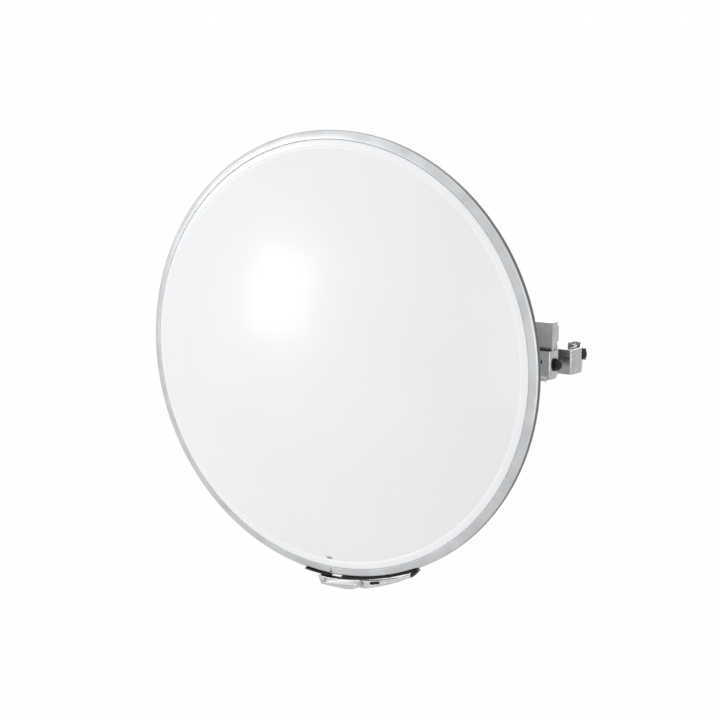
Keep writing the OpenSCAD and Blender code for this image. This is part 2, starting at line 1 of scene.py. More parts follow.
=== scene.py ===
"""Covered dish antenna with a drum-latch clamp band and a side pole clamp.

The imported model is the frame. This script gives its parts their finishes, and replaces the
parts whose rolled, moulded or pressed edges show from a step away with modelled meshes.
Lengths are in metres unless a name ends in _mm. +Z is up and the dish faces -Y.
"""

from __future__ import annotations

import json
import logging
import math
from dataclasses import dataclass, field
from enum import Enum
from typing import Any, Sequence

import bmesh
import bpy
from mathutils import Matrix, Vector

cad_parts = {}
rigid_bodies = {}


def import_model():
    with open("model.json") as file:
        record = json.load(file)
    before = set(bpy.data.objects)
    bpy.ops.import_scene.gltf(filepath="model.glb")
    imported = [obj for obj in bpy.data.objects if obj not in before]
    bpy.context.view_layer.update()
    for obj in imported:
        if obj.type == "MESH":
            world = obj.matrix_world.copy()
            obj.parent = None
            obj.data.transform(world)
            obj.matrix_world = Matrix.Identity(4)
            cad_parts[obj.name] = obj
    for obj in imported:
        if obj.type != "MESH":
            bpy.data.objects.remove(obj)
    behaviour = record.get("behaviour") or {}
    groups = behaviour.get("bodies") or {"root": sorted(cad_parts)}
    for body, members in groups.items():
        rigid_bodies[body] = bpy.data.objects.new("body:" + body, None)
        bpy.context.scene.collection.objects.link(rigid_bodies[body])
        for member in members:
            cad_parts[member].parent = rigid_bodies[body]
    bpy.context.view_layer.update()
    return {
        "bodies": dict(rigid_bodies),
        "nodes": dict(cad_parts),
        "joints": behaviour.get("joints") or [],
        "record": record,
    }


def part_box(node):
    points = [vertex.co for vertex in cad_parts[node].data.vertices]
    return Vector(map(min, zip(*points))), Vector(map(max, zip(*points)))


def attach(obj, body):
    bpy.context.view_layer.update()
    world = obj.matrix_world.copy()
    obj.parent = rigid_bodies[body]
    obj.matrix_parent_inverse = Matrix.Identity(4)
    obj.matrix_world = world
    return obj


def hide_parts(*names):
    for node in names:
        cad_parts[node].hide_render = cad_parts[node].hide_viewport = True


LOG = logging.getLogger("dish")
MM = 0.001
Point = tuple[float, float]
Triple = tuple[float, float, float]
Tree = bpy.types.NodeTree
Socket = bpy.types.NodeSocket

# A corner whose half angle is over this counts as straight and isn't rounded
STRAIGHT_DEG = 88.5
# Share of a leg that a fillet may take
LEG_SHARE = 0.45
# Height of a rolled thread along one pitch: crest, flank, root, flank
TOOTH = (1.0, 1.0, 0.5, 0.0, 0.0, 0.5)
# Depth of a thread and length of its run-out, as shares of the pitch
THREAD_DEPTH = 0.54
RUN_OUT = 0.4
# Roughness varies by this share of itself, in clouds this many times the mottle's size
UNEVEN = 0.15
HAZE_SIZE = 2.5
COAT_ROUGHNESS = 0.12
WHITE = (1.0, 1.0, 1.0, 1.0)


# ---- colours and nodes -------------------------------------------------------


def linear(colour: str) -> tuple[float, float, float, float]:
    """Turn an sRGB hex colour into a linear one.

    Args:
        colour: A hex string such as "#e9ebee".

    Returns:
        Linear red, green, blue and an alpha of 1.
    """
    parts = [int(colour[i : i + 2], 16) / 255 for i in (1, 3, 5)]
    turned = [c / 12.92 if c <= 0.04045 else ((c + 0.055) / 1.055) ** 2.4 for c in parts]
    return turned[0], turned[1], turned[2], 1.0


def put(tree: Tree, kind: str, inputs: dict | None = None, **settings: Any) -> bpy.types.Node:
    """Add a node with its settings and links.

    Args:
        tree: The tree that takes the node.
        kind: The node's type.
        inputs: Input name or index to a value, or to the socket it is linked from.
        **settings: Attributes of the node.

    Returns:
        The new node.
    """
    new = tree.nodes.new(kind)
    for name, value in settings.items():
        setattr(new, name, value)
    for key, value in (inputs or {}).items():
        if isinstance(value, Socket):
            tree.links.new(value, new.inputs[key])
        else:
            new.inputs[key].default_value = value
    return new


def ramp(tree: Tree, factor: Socket, stops: Sequence[tuple[float, str]]) -> Socket:
    """Add a colour ramp.

    Args:
        tree: The tree that takes the ramp.
        factor: The socket that drives it.
        stops: Place and hex colour of each stop, lowest first.

    Returns:
        The ramp's colour socket.
    """
    new = put(tree, "ShaderNodeValToRGB", {"Fac": factor})
    elements = new.color_ramp.elements
    while len(elements) < len(stops):
        elements.new(0.5)
    for element, (place, colour) in zip(elements, stops):
        element.position = place
        element.color = linear(colour)
    return new.outputs["Color"]


def noise(tree: Tree, place: Socket, size_mm: float, detail: float) -> Socket:
    """Add a noise texture.

    Args:
        tree: The tree that takes it.
        place: Object coordinates in metres.
        size_mm: Size of its largest clouds.
        detail: Octaves of finer noise.

    Returns:
        The noise as a factor.
    """
    inputs = {"Vector": place, "Scale": 1000 / size_mm, "Detail": detail}
    return put(tree, "ShaderNodeTexNoise", inputs).outputs["Fac"]


def from_axis(tree: Tree, place: Socket, centre: Triple, weights: Triple) -> Socket:
    """Distance from a point of the dish's axis, with a weight on each direction.

    Args:
        tree: The tree that takes the nodes.
        place: Object coordinates in metres.
        centre: The point.
        weights: How much x, y and z count; the axis runs along y.

    Returns:
        The distance socket.
    """
    kind = "ShaderNodeVectorMath"
    away = put(tree, kind, {0: place, 1: centre}, operation="SUBTRACT").outputs["Vector"]
    flat = put(tree, kind, {0: away, 1: weights}, operation="MULTIPLY").outputs["Vector"]
    return put(tree, kind, {0: flat}, operation="LENGTH").outputs["Value"]


def rings(tree: Tree, distance: Socket, grain_mm: float) -> Socket:
    """Fine rings that keep one distance from the axis.

    Args:
        tree: The tree that takes the nodes.
        distance: Distance from the axis.
        grain_mm: Width of a ring.

    Returns:
        The rings' height as a factor.
    """
    step = put(tree, "ShaderNodeMath", {0: distance, 1: 1000 / grain_mm}, operation="MULTIPLY")
    at = put(tree, "ShaderNodeCombineXYZ", {"X": step.outputs["Value"]})
    grain = put(tree, "ShaderNodeTexNoise", {"Vector": at.outputs["Vector"], "Scale": 1.0})
    return grain.outputs["Fac"]


# ---- finishes ----------------------------------------------------------------


class Coat(Enum):
    """Weight of the clear skin over a surface."""

    NONE = 0.0
    THIN = 0.15


@dataclass(frozen=True)
class Finish:
    """A plain surface: base colour, a faint mottle and a fine bump.

    Attributes:
        name: What the material is and how its surface was made.
        light: The brighter of the two colours that the mottle runs between.
        dark: The darker of them.
        roughness: Roughness at the middle of the mottle.
        metallic: 1 for bare metal.
        ior: Index of refraction; metals keep the default.
        mottle_mm: Size of the mottle.
        grain_mm: Size of the grain in the bump.
        grain_depth: Strength of the bump.
        coat: A clear skin over the base.
    """

    name: str
    light: str
    dark: str
    roughness: float = 0.4
    metallic: float = 0.0
    ior: float = 1.5
    mottle_mm: float = 60.0
    grain_mm: float = 0.8
    grain_depth: float = 0.05
    coat: Coat = Coat.NONE

    def colour(self, tree: Tree, place: Socket) -> Socket:
        """Colour of the surface.

        Args:
            tree: The material's tree.
            place: Object coordinates in metres.

        Returns:
            The colour socket.
        """
        cloud = noise(tree, place, self.mottle_mm, 4.0)
        return ramp(tree, cloud, [(0.3, self.dark), (0.7, self.light)])

    def height(self, tree: Tree, place: Socket) -> Socket:
        """Height of the fine grain.

        Args:
            tree: The material's tree.
            place: Object coordinates in metres.

        Returns:
            The height socket.
        """
        return noise(tree, place, self.grain_mm, 3.0)

    def gloss(self, tree: Tree, place: Socket) -> Socket:
        """Roughness, a little uneven.

        Args:
            tree: The material's tree.
            place: Object coordinates in metres.

        Returns:
            The roughness socket.
        """
        haze = noise(tree, place, self.mottle_mm * HAZE_SIZE, 2.0)
        low, high = self.roughness * (1 - UNEVEN), self.roughness * (1 + UNEVEN)
        span = put(tree, "ShaderNodeMapRange", {"Value": haze, "To Min": low, "To Max": high})
        return span.outputs["Result"]

    def build(self) -> bpy.types.Material:
        """Make the material.

        Returns:
            A material whose pattern reads Object coordinates.
        """
        made = bpy.data.materials.new(self.name)
        made.use_nodes = True
        tree = made.node_tree
        tree.nodes.clear()
        place = put(tree, "ShaderNodeTexCoord").outputs["Object"]
        height = self.height(tree, place)
        inputs = {"Strength": self.grain_depth, "Distance": self.grain_mm * MM, "Height": height}
        bump = put(tree, "ShaderNodeBump", inputs)
        shader = put(
            tree,
            "ShaderNodeBsdfPrincipled",
            {
                "Base Color": self.colour(tree, place),
                "Roughness": self.gloss(tree, place),
                "Metallic": self.metallic,
                "IOR": self.ior,
                "Coat Weight": self.coat.value,
                "Coat Roughness": COAT_ROUGHNESS,
                "Normal": bump.outputs["Normal"],
            },
        )
        put(tree, "ShaderNodeOutputMaterial", {"Surface": shader.outputs["BSDF"]})
        made.diffuse_color = linear(self.light)
        return made


@dataclass(frozen=True)
class ZincSpangle(Finish):
    """Galvanised steel: zinc crystals, each a slightly other grey.

    Attributes:
        spangle_mm: Size of a crystal.
        cloud: Share of the slow cloud in the grey; the crystals give the rest.
    """

    spangle_mm: float = 6.0
    cloud: float = 0.55

    def colour(self, tree: Tree, place: Socket) -> Socket:
        """Crystal cells over a slow cloud."""
        inputs = {"Vector": place, "Scale": 1000 / self.spangle_mm}
        cells = put(tree, "ShaderNodeTexVoronoi", inputs)
        grey = put(tree, "ShaderNodeSeparateColor", {"Color": cells.outputs["Color"]})
        cloud = noise(tree, place, self.mottle_mm, 3.0)
        inputs = {"Factor": self.cloud, "A": grey.outputs["Red"], "B": cloud}
        both = put(tree, "ShaderNodeMix", inputs)
        return ramp(tree, both.outputs["Result"], [(0.2, self.dark), (0.8, self.light)])


@dataclass(frozen=True)
class RolledBand(Finish):
    """Roll-formed strip: fine lines along the rim, and a web darkened by a painted dark reflection.

    Attributes:
        centre: Rim centre in the row frame.
        web_r: Radius past which the painted dark reflection on the web starts.
        web_painted_reflection: Colour of that painted dark reflection.
        fade_mm: How far inside and outside that radius it fades in.
    """

    centre: Triple = (0.0, 0.0, 0.0)
    web_r: float = 0.2896
    web_painted_reflection: str = "#66676a"
    fade_mm: Point = (0.1, 0.15)

    def radius(self, tree: Tree, place: Socket) -> Socket:
        """Distance from the dish's axis.

        Args:
            tree: The material's tree.
            place: Object coordinates in metres.

        Returns:
            The distance socket.
        """
        return from_axis(tree, place, self.centre, (1.0, 0.0, 1.0))

    def colour(self, tree: Tree, place: Socket) -> Socket:
        """Steel on the lips, a painted dark reflection on the web."""
        steel = Finish.colour(self, tree, place)
        # Past web_r the steel colour turns into a painted dark reflection on the web
        inputs = {
            "Value": self.radius(tree, place),
            "From Min": self.web_r - self.fade_mm[0] * MM,
            "From Max": self.web_r + self.fade_mm[1] * MM,
        }
        far = put(tree, "ShaderNodeMapRange", inputs).outputs["Result"]
        inputs = {"Factor": far, 6: steel, 7: linear(self.web_painted_reflection)}
        return put(tree, "ShaderNodeMix", inputs, data_type="RGBA").outputs[2]

    def height(self, tree: Tree, place: Socket) -> Socket:
        """Roll lines, which keep one distance from the axis."""
        return rings(tree, self.radius(tree, place), self.grain_mm)


@dataclass(frozen=True)
class Turned(Finish):
    """Lathe-turned metal or polymer: rings about the dish's axis.

    Attributes:
        centre: Rim centre in the row frame.
        lead: How much the way along the axis counts, so that walls show marks too.
    """

    centre: Triple = (0.0, 0.0, 0.0)
    lead: float = 0.3

    def height(self, tree: Tree, place: Socket) -> Socket:
        """Tool marks, as rings about the axis."""
        distance = from_axis(tree, place, self.centre, (1.0, self.lead, 1.0))
        return rings(tree, distance, self.grain_mm)


# ---- mesh helpers ------------------------------------------------------------


def unit(v: Vector) -> Vector:
    """The vector at length 1."""
    return v.normalized()


def filleted(points: Sequence[Point], radius: float, steps: int) -> list[Vector]:
    """Round every inner corner of an open path.

    Args:
        points: Corner points.
        radius: Radius of each fillet, cut back where a leg is short.
        steps: Straight pieces in each fillet.

    Returns:
        The path with its arcs.
    """
    corners = [Vector(p) for p in points]
    path = [corners[0]]
    for before, here, after in zip(corners, corners[1:], corners[2:]):
        u, w = unit(before - here), unit(after - here)
        half = u.angle(w) / 2
        if half > math.radians(STRAIGHT_DEG):
            path.append(here)
            continue
        leg = min((before - here).length, (after - here).length)
        reach = min(radius / math.tan(half), LEG_SHARE * leg)
        r = reach * math.tan(half)
        middle = here + unit(u + w) * (r / math.sin(half))
        start, end = here + u * reach - middle, here + w * reach - middle
        sweep = start.angle_signed(end)
        for i in range(steps + 1):
            turn = Matrix.Rotation(-sweep * i / steps, 2)
            path.append(middle + turn @ start)
    path.append(corners[-1])
    return path


def closed_fillet(points: Sequence[Point], radius: float, steps: int) -> list[Vector]:
    """Round every corner of a closed outline.

    Args:
        points: Corner points, the last joined to the first.
        radius: Radius of each fillet.
        steps: Straight pieces in each fillet.

    Returns:
        The closed outline with its arcs.
    """
    ring = [*points, points[0], points[1]]
    return filleted(ring, radius, steps)[1:-1]


def ribbon(path: Sequence[Vector], thickness: float) -> list[Vector]:
    """Outline of a sheet that follows a path.

    Args:
        path: Middle line of the sheet.
        thickness: Thickness of the sheet.

    Returns:
        The closed outline.
    """
    sides: list[list[Vector]] = [[], []]
    last = len(path) - 1
    for i, here in enumerate(path):
        a = unit(path[min(i + 1, last)] - path[min(i, last - 1)])
        b = unit(path[max(i, 1)] - path[max(i - 1, 0)])
        normal_a, normal_b = Vector((-a.y, a.x)), Vector((-b.y, b.x))
        middle = unit(normal_a + normal_b)
        push = middle * (thickness / 2 / middle.dot(normal_a))
        sides[0].append(here + push)
        sides[1].append(here - push)
    return sides[0] + sides[1][::-1]


def new_piece(name: str, bm: bmesh.types.BMesh, smooth_deg: float = 35.0) -> bpy.types.Object:
    """Turn a bmesh into an object at the origin.

    Args:
        name: The piece's name.
        bm: The mesh, which is freed.
        smooth_deg: Edges sharper than this stay sharp.

    Returns:
        The linked object.
    """
    for face in bm.faces:
        face.smooth = True
    for edge in bm.edges:
        edge.smooth = edge.calc_face_angle(0.0) < math.radians(smooth_deg)
    mesh = bpy.data.meshes.new(name)
    bm.to_mesh(mesh)
    bm.free()
    made = bpy.data.objects.new(name, mesh)
    bpy.context.scene.collection.objects.link(made)
    return made


def clean(bm: bmesh.types.BMesh, merge: float = 1e-6) -> None:
    """Merge doubles, then point every face outwards.

    Args:
        bm: The mesh.
        merge: Vertices nearer than this are joined.
    """
    bmesh.ops.remove_doubles(bm, verts=bm.verts, dist=merge)
    bmesh.ops.recalc_face_normals(bm, faces=bm.faces)


def soften(bm: bmesh.types.BMesh, width: float, over_deg: float) -> None:
    """Bevel every edge that is sharper than an angle.

    Args:
        bm: The mesh.
        width: Width of the bevel.
        over_deg: Only edges past this angle are bevelled.
    """
    limit = math.radians(over_deg)
    sharp = [e for e in bm.edges if len(e.link_faces) == 2 and e.calc_face_angle(0.0) > limit]
    bmesh.ops.bevel(
        bm,
        geom=sharp,
        offset=width,
        offset_type="OFFSET",
        affect="EDGES",
        segments=2,
        profile=0.5,
        material=-1,
        clamp_overlap=True,
    )


def spun(
    profile: Sequence[Vector],
    steps: int,
    sweep: float = 2 * math.pi,
    start: float = 0.0,
) -> bmesh.types.BMesh:
    """Turn a closed profile about the z axis.

    Args:
        profile: Points of radius and height.
        steps: Faces round the axis.
        sweep: Angle of the turn; less than a full turn leaves two closed ends.
        start: Angle at which it starts.

    Returns:
        The mesh about the z axis.
    """
    bm = bmesh.new()
    verts = [bm.verts.new((p.x, 0.0, p.y)) for p in profile]
    full = sweep > 2 * math.pi - 1e-6
    geom: list = [bm.edges.new((a, b)) for a, b in zip(verts, verts[1:] + verts[:1])]
    geom += verts
    if not full:
        geom.append(bm.faces.new(verts))
    bmesh.ops.rotate(bm, verts=verts, cent=(0, 0, 0), matrix=Matrix.Rotation(start, 3, "Z"))
    bmesh.ops.spin(
        bm,
        geom=geom,
        cent=(0, 0, 0),
        axis=(0, 0, 1),
        angle=sweep,
        steps=steps,
        use_merge=full,
    )
    clean(bm)
    return bm


def threaded(radius: float, pitch: float, length: float, sides: int = 28) -> bmesh.types.BMesh:
    """A shank with a rolled thread: a grid whose rows climb one pitch in each turn.

    Args:
        radius: Radius over the thread.
        pitch: Rise of one turn.
        length: Length of the shank along z, from zero.
        sides: Columns round the shank.

    Returns:
        The closed mesh about the z axis.
    """
    bm = bmesh.new()
    depth = THREAD_DEPTH * pitch
    plain = RUN_OUT * pitch
    rows = round(length / pitch * len(TOOTH))
    columns: list[list[bmesh.types.BMVert]] = []
    for side in range(sides + 1):
        turn = side / sides
        along, across = math.cos(2 * math.pi * turn), math.sin(2 * math.pi * turn)
        column = []
        for row in range(-len(TOOTH), rows + 1):
            z = (row / len(TOOTH) + turn) * pitch
            share = TOOTH[row % len(TOOTH)] if plain < z < length - plain else 0.0
            r = radius - depth * (1 - share)
            column.append(bm.verts.new((r * along, r * across, min(max(z, 0.0), length))))
        columns.append(column)
    for left, right in zip(columns, columns[1:]):
        for a, b, c, d in zip(left, right, right[1:], left[1:]):
            bm.faces.new((a, b, c, d))
    bmesh.ops.remove_doubles(bm, verts=bm.verts, dist=1e-6)
    bmesh.ops.dissolve_degenerate(bm, dist=1e-6, edges=bm.edges)
    bmesh.ops.holes_fill(bm, edges=[e for e in bm.edges if e.is_boundary], sides=0)
    clean(bm)
    return bm


def add_rod(bm: bmesh.types.BMesh, radius: float, depth: float, sides: int, axes: Matrix) -> None:
    """Add a closed rod to a mesh.

    Args:
        bm: The mesh that takes it.
        radius: Radius of the rod.
        depth: Its length.
        sides: Faces round it.
        axes: Where its middle goes, and how it lies; it runs along z.
    """
    bmesh.ops.create_cone(
        bm,
        cap_ends=True,
        segments=sides,
        radius1=radius,
        radius2=radius,
        depth=depth,
        matrix=axes,
    )


def join_into(target: bmesh.types.BMesh, extra: bmesh.types.BMesh) -> None:
    """Copy one mesh into another and free it.

    Args:
        target: The mesh that grows.
        extra: The mesh that is copied.
    """
    spare = bpy.data.meshes.new("spare")
    extra.to_mesh(spare)
    extra.free()
    target.from_mesh(spare)
    bpy.data.meshes.remove(spare)


def cut(piece: bpy.types.Object, cutter: bpy.types.Object) -> None:
    """Cut one object out of another and remove the cutter.

    Args:
        piece: The object that is cut.
        cutter: The shape that is taken away.
    """
    modifier = piece.modifiers.new("cut", "BOOLEAN")
    modifier.operation = "DIFFERENCE"
    modifier.solver = "EXACT"
    modifier.object = cutter
    bpy.context.view_layer.update()
    depsgraph = bpy.context.evaluated_depsgraph_get()
    done = bpy.data.meshes.new_from_object(piece.evaluated_get(depsgraph))
    piece.modifiers.remove(modifier)
    old = piece.data
    piece.data = done
    bpy.data.meshes.remove(old)
    spent = cutter.data
    bpy.data.objects.remove(cutter)
    bpy.data.meshes.remove(spent)


# ---- the workshop: where pieces get their place, body and finish --------------


@dataclass
class Workshop:
    """Holds the frame, the finishes and the dish's own axes.

    Attributes:
        finishes: Material slot to material.
        slots: Node to material slot.
        rim: Rim centre in the row frame.
        rim_r: Radius over the clamp band.
    """

    frame: dict
    finishes: dict[str, bpy.types.Material]
    slots: dict[str, str]
    rim: Vector
    rim_r: float

    @classmethod
    def open(cls, frame: dict) -> "Workshop":
        """Read the slots and the rim from the frame.


        Returns:
            The workshop, without finishes.
        """
        low, high = (Vector(c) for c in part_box("clamp_band"))
        slots = {s["node"]: s["material_slot"] for s in frame["record"]["subparts"]}
        return cls(frame, {}, slots, (low + high) / 2, (high.x - low.x) / 2)

    def dish_axes(self) -> Matrix:
        """The dish's frame: x right, y up, z forward, zero at the rim centre."""
        turn = Matrix(((1, 0, 0), (0, 0, -1), (0, 1, 0))).to_4x4()
        return Matrix.Translation(self.rim) @ turn

    def finish_node(self, node: str) -> None:
        """Give a CAD node its finish.

        Args:
            node: The node's name.
        """
        shown = self.frame["nodes"][node]
        material = self.finishes[self.slots[node]]
        shown.data.materials.clear()
        shown.data.materials.append(material)

    def add(
        self,
        name: str,
        body: str,
        slot: str,
        bm: bmesh.types.BMesh,
        axes: Matrix | None = None,
        stands_for: Sequence[str] = (),
        smooth_deg: float = 50.0,
    ) -> bpy.types.Object:
        """Place a new piece, let it ride, and give it its finish.

        Args:
            name: The piece's name.
            body: The CAD body that it rides on.
            slot: Its material slot.
            bm: Its mesh.
            axes: The axes that the mesh was drawn in, or the row frame.
            stands_for: CAD nodes that it replaces.
            smooth_deg: Edges sharper than this stay sharp.

        Returns:
            The piece.
        """
        if axes is not None:
            bmesh.ops.transform(bm, matrix=axes, verts=bm.verts)
        piece = new_piece(name, bm, smooth_deg)
        piece.data.materials.append(self.finishes[slot])
        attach(piece, body)
        if stands_for:
            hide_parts(*stands_for)
        LOG.info("piece %s on %s, %d faces", name, body, len(piece.data.polygons))
        return piece

    def body_of(self, node: str) -> str:
        """The CAD body that a node belongs to.

        Args:
            node: The node's name.

        Returns:
            The body's name.
        """
        bodies = self.frame["record"]["behaviour"]["bodies"]
        return next(body for body, nodes in bodies.items() if node in nodes)

    def merged(self, node: str) -> bmesh.types.BMesh:
        """A copy of a CAD part as one closed mesh with whole flat faces.

        Args:
            node: The node's name.

        Returns:
            The copy, in the row frame.
        """
        bm = bmesh.new()
        bm.from_mesh(self.frame["nodes"][node].data)
        bmesh.ops.remove_doubles(bm, verts=bm.verts, dist=2e-6)
        bmesh.ops.dissolve_limit(
            bm,
            angle_limit=math.radians(0.6),
            verts=bm.verts,
            edges=bm.edges,
            use_dissolve_boundaries=False,
        )
        return bm

    def ease(self, node: str, width_mm: float, over_deg: float = 32.0) -> bpy.types.Object:
        """Replace a CAD part by a copy with broken edges.

        Args:
            node: The node's name.
            width_mm: Width of each broken edge.
            over_deg: Only edges past this angle are broken.

        Returns:
            The piece.
        """
        bm = self.merged(node)
        soften(bm, width_mm * MM, over_deg)
        body, slot = self.body_of(node), self.slots[node]
        return self.add(f"{node}_eased", body, slot, bm, None, [node], smooth_deg=40.0)


# ---- dish --------------------------------------------------------------------


@dataclass
class Radome:
    """Moulded dome on a stepped edge ring.

    Attributes:
        dome_mm: Radius of the dome's foot.
        foot_mm: Height of the dome's foot over the rim plane.
        top_mm: Height of the dome's top.
        wall_mm: Wall of the dome.
        flange_mm: Outer radius of the edge flange.
        flange_z_mm: Heights of the flange's underside and top at its outer radius.
        neck_mm: Radius at which the edge leaves the band's lip.
        neck_z_mm: Heights between which it stands upright there.
        shoulder_mm: How far inside the neck the shoulder ends, and its height.
        crest_mm: Radius past the dome's foot and height of each point of the edge ring's crest.
        round_mm: Radius of the moulded corners.
        lap_mm: How far the inner skin's foot lies inside and below the outer one's.
        edge_wall_mm: Wall of the edge ring.
        edge_z_mm: Height of the hollow under the edge ring.
        drain_mm: Place of the drain slot in the dish's frame.
        drain_size_mm: Width, height and depth of the cut.
    """

    dome_mm: float = 266.5
    foot_mm: float = 11.0
    top_mm: float = 88.0
    wall_mm: float = 2.5
    flange_mm: float = 286.0
    flange_z_mm: Point = (1.5, 3.6)
    neck_mm: float = 278.5
    neck_z_mm: Point = (6.7, 8.0)
    shoulder_mm: Point = (1.6, 9.2)
    crest_mm: tuple[Point, ...] = ((4.2, 10.6), (2.6, 10.2), (1.0, 10.2))
    round_mm: float = 0.9
    lap_mm: Point = (2.0, 2.4)
    edge_wall_mm: float = 3.5
    edge_z_mm: float = 6.2
    drain_mm: Point = (-8.0, -266.4)
    drain_size_mm: Triple = (8.0, 2.0, 40.0)

    @staticmethod
    def arc(sag: float, rise: float, foot_r: float, steps: int = 48) -> list[Point]:
        """Points of a spherical cap from its foot to its top.

        Args:
            sag: Height of the cap.
            rise: Height of its foot.
            foot_r: Radius of its foot.
            steps: Straight pieces.

        Returns:
            Radius and height of each point.
        """
        ball = (foot_r * foot_r + sag * sag) / (2 * sag)
        widest = math.asin(foot_r / ball)
        angles = (widest * (1 - i / steps) for i in range(steps + 1))
        return [(ball * math.sin(a), rise + sag - ball + ball * math.cos(a)) for a in angles]

    def profile(self) -> list[Vector]:
        """Closed profile of dome, step and edge flange.

        Returns:
            Points of radius and height in metres, both ends on the axis.
        """
        sag = self.top_mm - self.foot_mm
        outside = [(self.flange_mm, z) for z in self.flange_z_mm]
        outside += [(self.neck_mm, z) for z in self.neck_z_mm]
        outside += [(self.neck_mm - self.shoulder_mm[0], self.shoulder_mm[1])]
        outside += [(self.dome_mm + past, z) for past, z in self.crest_mm]
        outside += [(self.dome_mm, self.foot_mm)]
        skin = [(p.x, p.y) for p in filleted(outside, self.round_mm, 5)]
        skin += self.arc(sag, self.foot_mm, self.dome_mm)[1:]
        inward, down = self.lap_mm
        rise = self.foot_mm - down
        inside = self.arc(sag - self.wall_mm + down, rise, self.dome_mm - inward)[::-1]
        edge_r = self.neck_mm - self.edge_wall_mm
        edge = [(edge_r, self.edge_z_mm), (edge_r, self.flange_z_mm[0])]
        return [Vector(p) * MM for p in skin + inside + edge]

    def build(self, shop: Workshop) -> None:
        """Make the radome and cut its drain slot.

        Args:
            shop: The workshop.
        """
        axes = shop.dish_axes()
        bm = spun(self.profile(), 288)
        piece = shop.add("radome_dome", "dish", "radome_white", bm, axes, ["radome"])
        tool = bmesh.new()
        bmesh.ops.create_cube(tool, size=1.0)
        bmesh.ops.scale(tool, vec=[size * MM for size in self.drain_size_mm], verts=tool.verts)
        turn = Matrix.Rotation(math.atan2(self.drain_mm[0], -self.drain_mm[1]), 4, "Z")
        middle = Matrix.Translation(Vector((0.0, -Vector(self.drain_mm).length, 0.0)) * MM)
        bmesh.ops.transform(tool, matrix=axes @ turn @ middle, verts=tool.verts)
        cut(piece, new_piece("drain_cutter", tool))


@dataclass
class Reflector:
    """Spun bowl with a flat centre and a rolled rim.

    Attributes:
        focal_mm: Focal length.
        flat_mm: Radius of the flat centre.
        bowl_mm: Radius at which the bowl meets its rim flange.
        flange_mm: Outer radius of the rim flange.
        hole_mm: Radius of the centre hole.
        wall_mm: Wall of the spun sheet.
        rim_mm: Height of the rim flange's face.
        roll_mm: How far the rolled rim turns back.
        roll_r_mm: Radius of that roll.
    """

    focal_mm: float = 166.0
    flat_mm: float = 66.0
    bowl_mm: float = 276.0
    flange_mm: float = 286.0
    hole_mm: float = 34.5
    wall_mm: float = 2.0
    rim_mm: float = -0.5
    roll_mm: float = 2.0
    roll_r_mm: float = 1.2

    def surface(self, r: float) -> float:
        """Height of the bowl's inner face at a radius."""
        return self.rim_mm - (self.bowl_mm**2 - max(r, self.flat_mm) ** 2) / (4 * self.focal_mm)

    def build(self, shop: Workshop) -> None:
        """Make the bowl.

        Args:
            shop: The workshop.
        """
        steps = 56
        radii = [self.flat_mm + (self.bowl_mm - self.flat_mm) * i / steps for i in range(steps + 1)]
        flat = [self.hole_mm, self.flat_mm - 2 * self.wall_mm]
        skin = [Vector((r, self.surface(r))) for r in flat + radii]
        half = self.wall_mm / 2
        face, outer = self.rim_mm - half, self.flange_mm - half
        rim = [(self.bowl_mm + self.wall_mm, face), (outer, face), (outer, face - self.roll_mm)]
        path = [p - Vector((0, half)) for p in skin] + filleted(rim, self.roll_r_mm, 4)
        bm = spun([p * MM for p in ribbon(path, self.wall_mm)], 256)
        shop.add("reflector_bowl", "dish", "dish_white", bm, shop.dish_axes(), ["reflector"])


@dataclass
class ClampBand:
    """Roll-formed V-section band, split at the bottom, with rounded lips.

    Attributes:
        sheet_mm: Thickness of the sheet.
        web_mm: Width of the flat web.
        lip_in_mm: Reach of the lips towards the axis.
        lip_out_mm: Reach of the lips along the axis.
        gap_mm: Gap between the band's ends.
        gap_deg: Middle of the gap, from straight down.
        bend_mm: Radius of the bends between web and lips.
        edge_mm: Radius of the sheet's edges.
    """

    sheet_mm: float = 1.5
    web_mm: float = 7.0
    lip_in_mm: float = 10.25
    lip_out_mm: float = 4.0
    gap_mm: float = 3.0
    gap_deg: float = -1.77
    bend_mm: float = 2.4
    edge_mm: float = 0.6

    def build(self, shop: Workshop) -> None:
        """Make the band.

        Args:
            shop: The workshop.
        """
        middle_r = shop.rim_r / MM - self.sheet_mm / 2
        tip = (middle_r - self.lip_in_mm, self.web_mm / 2 + self.lip_out_mm)
        web = self.web_mm / 2
        corners = [(tip[0], -tip[1]), (middle_r, -web), (middle_r, web), tip]
        outline = ribbon(filleted(corners, self.bend_mm, 8), self.sheet_mm)
        rounded = closed_fillet([tuple(p) for p in outline], self.edge_mm, 3)
        half = self.gap_mm / 2 / middle_r
        down = -math.pi / 2 + math.radians(self.gap_deg)
        bm = spun([p * MM for p in rounded], 300, 2 * math.pi - 2 * half, down + half)
        shop.add("band_ring", "dish", "band_steel", bm, shop.dish_axes(), ["clamp_band"])


# ---- pieces with broken edges and threads -------------------------------------


class Edge(Enum):
    """Width in mm of the broken edge that each way of making leaves."""

    SHEARED = 0.35
    STAMPED = 0.3
    MACHINED = 0.25
    CAST = 0.7
    FORGED = 0.45
    MOULDED = 0.5


